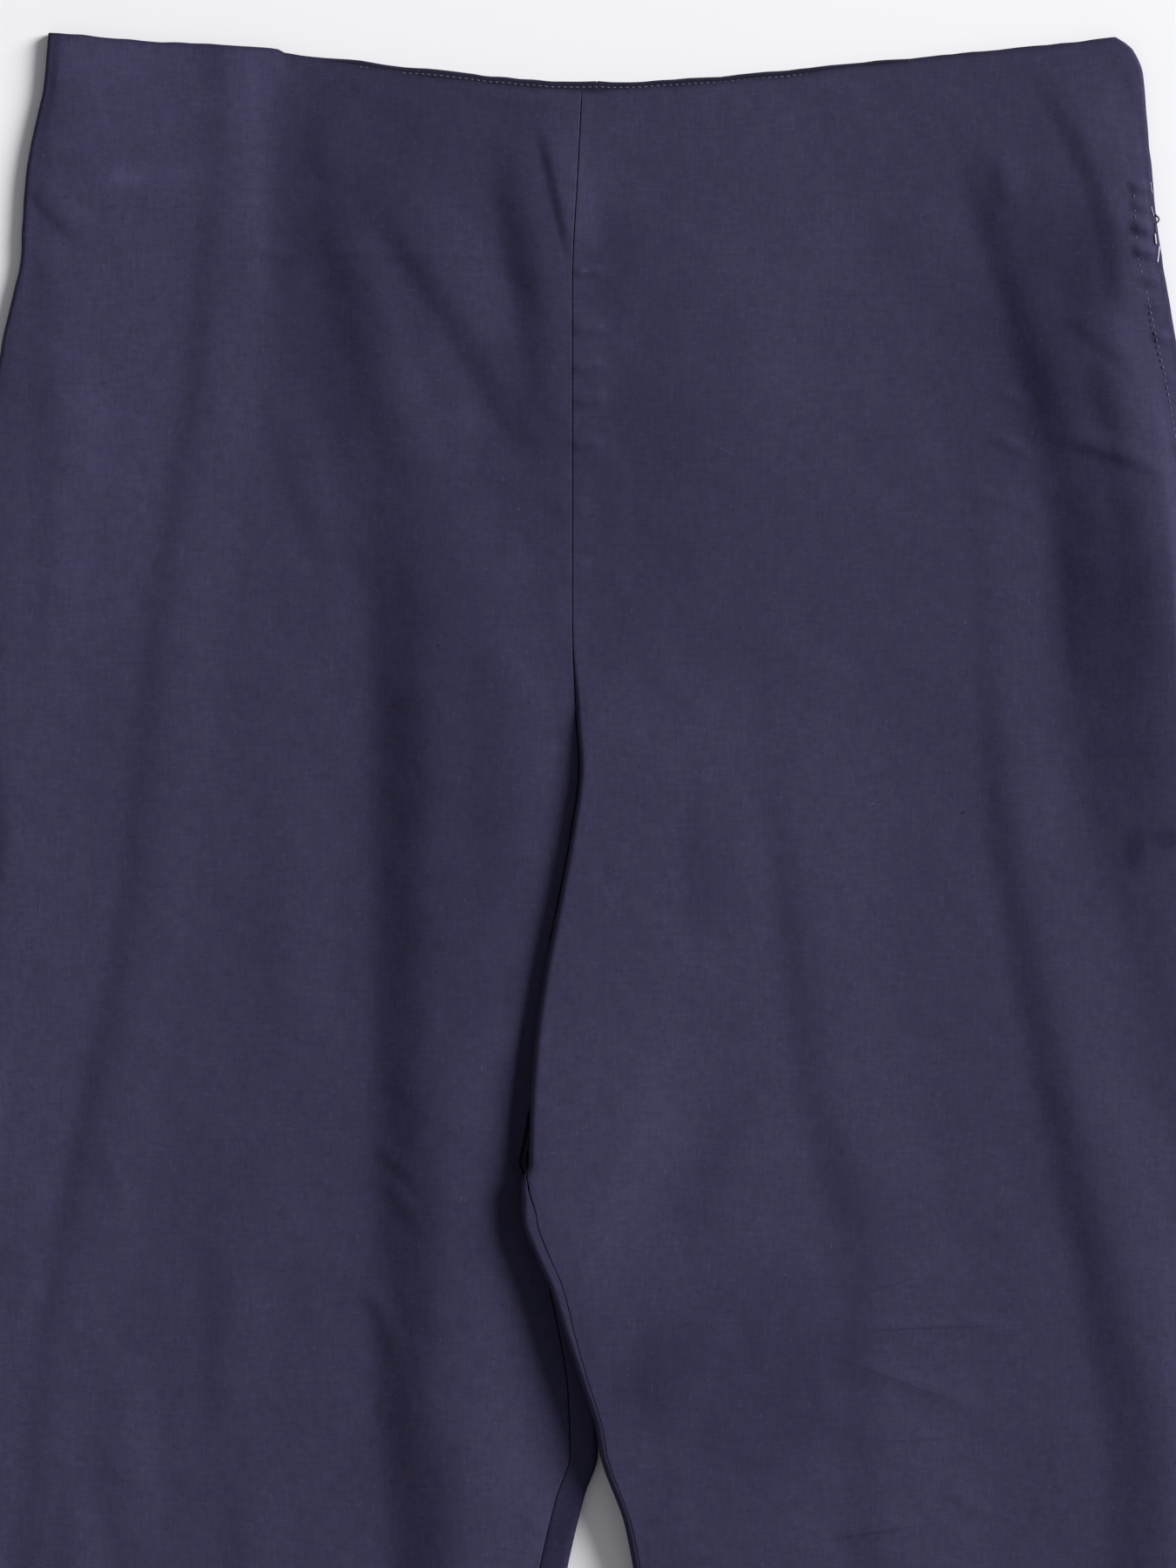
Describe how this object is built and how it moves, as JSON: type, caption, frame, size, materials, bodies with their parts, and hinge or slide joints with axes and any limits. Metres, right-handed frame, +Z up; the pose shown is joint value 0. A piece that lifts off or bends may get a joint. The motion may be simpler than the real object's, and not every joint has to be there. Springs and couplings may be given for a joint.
{
  "type": "straight-leg trousers laid flat",
  "caption": "Straight-leg trousers with a faced waist and a concealed side zip, laid flat with the front up and one leg's inner edge over the other.",
  "frame": {"origin": "middle of the length and width, on the surface that the trousers lie on", "axes": "+X to the right as seen from above, which is the wearer's left, +Y from the hems to the waist, +Z up out of the front"},
  "size_m": [0.4312, 1.0248, 0.0148],
  "materials": {
    "navy_cotton": "fine indigo navy cotton twill with a faint sheen, stitched in navy thread",
    "facing_cotton": "inner side of the same cotton, understitched along its top edge",
    "zip_tape": "woven navy tape with a moulded nylon coil",
    "navy_thread": "twisted polyester sewing thread",
    "pale_thread": "stray ends of pale overlock thread"
  },
  "bodies": {
    "root": {"front_left_panel": "navy_cotton", "front_right_panel": "navy_cotton", "back_left_panel": "navy_cotton", "back_right_panel": "navy_cotton", "back_facing": "facing_cotton", "side_zip": "zip_tape"}
  },
  "joints": []
}
